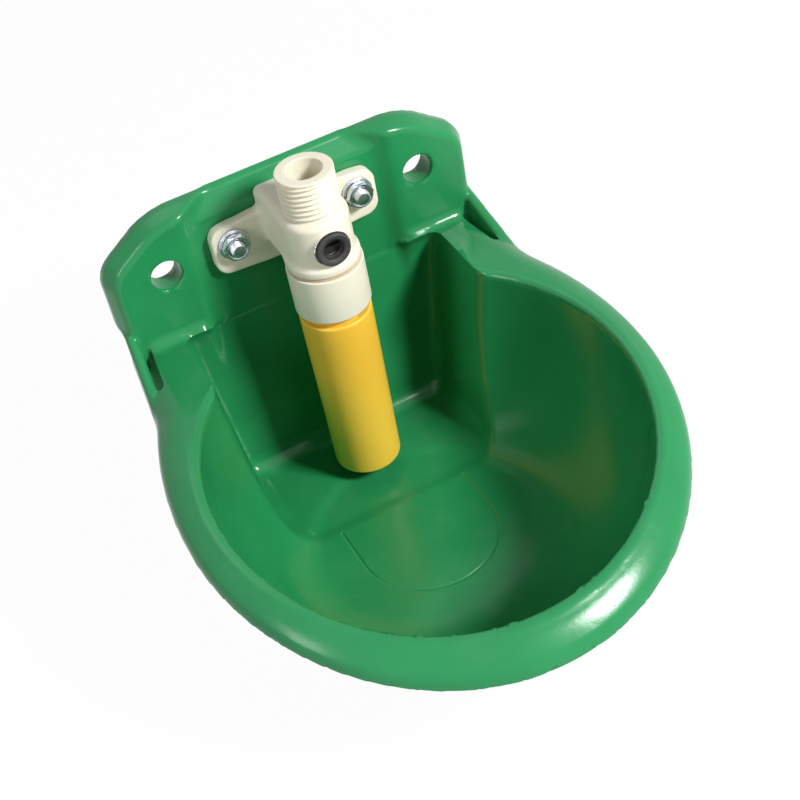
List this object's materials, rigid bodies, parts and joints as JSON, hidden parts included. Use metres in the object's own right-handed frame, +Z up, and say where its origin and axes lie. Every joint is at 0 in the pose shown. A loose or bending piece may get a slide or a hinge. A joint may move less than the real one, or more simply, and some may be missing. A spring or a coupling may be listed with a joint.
{
  "type": "livestock drinking bowl with push-tube valve",
  "caption": "Wall-mounted moulded plastic livestock drinking bowl with a tilting yellow push tube under a threaded plastic water valve.",
  "frame": {"origin": "on the floor plane under the middle of the bowl's overall box", "axes": "+Z up along the valve's spigot, +Y towards the wall, +X to the right seen from the front"},
  "size_m": [0.177, 0.1906, 0.146],
  "materials": {
    "green_plastic": "glossy moulded polypropylene",
    "cream_plastic": "satin moulded nylon",
    "yellow_plastic": "satin moulded plastic",
    "zinc_steel": "bright zinc plating",
    "spring_steel": "drawn stainless wire",
    "brass": "turned",
    "black_rubber": "matt",
    "black_plastic": "moulded",
    "tan_gasket": "matt fibre"
  },
  "bodies": {
    "base": {"bowl_shell": "green_plastic", "valve_body": "cream_plastic", "collar_nut": "cream_plastic", "collar_gasket": "tan_gasket", "seat_insert": "brass", "seat_ring": "black_rubber", "valve_spring": "spring_steel", "inlet_strainer": "cream_plastic", "port_grommet": "black_rubber", "mounting_bolt_left": "zinc_steel", "mounting_bolt_right": "zinc_steel", "mounting_washer_left": "zinc_steel", "mounting_washer_right": "zinc_steel", "mounting_nut_left": "zinc_steel", "mounting_nut_right": "zinc_steel"},
    "tilt_cup": {"spring_retainer": "brass"},
    "tube": {"push_tube": "yellow_plastic", "valve_stem": "brass", "stem_nut": "brass"},
    "screw_carrier": {"flow_screw_ring": "black_rubber"},
    "screw": {"flow_screw": "black_plastic"}
  },
  "joints": [
    {"name": "tube_tilt_x", "type": "hinge", "parent": "base", "child": "tilt_cup", "pos_m": [0, 0.06235, 0.0935], "axis": [1, 0, 0], "range_deg": [-4, 4], "stiffness_Nm_per_rad": 1},
    {"name": "tube_tilt_y", "type": "hinge", "parent": "tilt_cup", "child": "tube", "pos_m": [0, 0.06235, 0.0935], "axis": [0, 1, 0], "range_deg": [-4, 4], "stiffness_Nm_per_rad": 1},
    {"name": "flow_screw_travel", "type": "slide", "parent": "base", "child": "screw_carrier", "axis": [0, 1, 0], "range_m": [0, 0.0015]},
    {"name": "flow_screw_turn", "type": "hinge", "parent": "screw_carrier", "child": "screw", "pos_m": [0, 0.04965, 0.1195], "axis": [0, 1, 0], "range_deg": [0, 360]}
  ],
  "couplings": [
    {"joint": "flow_screw_turn", "follows": "flow_screw_travel", "rad_per_m": 4188.8}
  ]
}
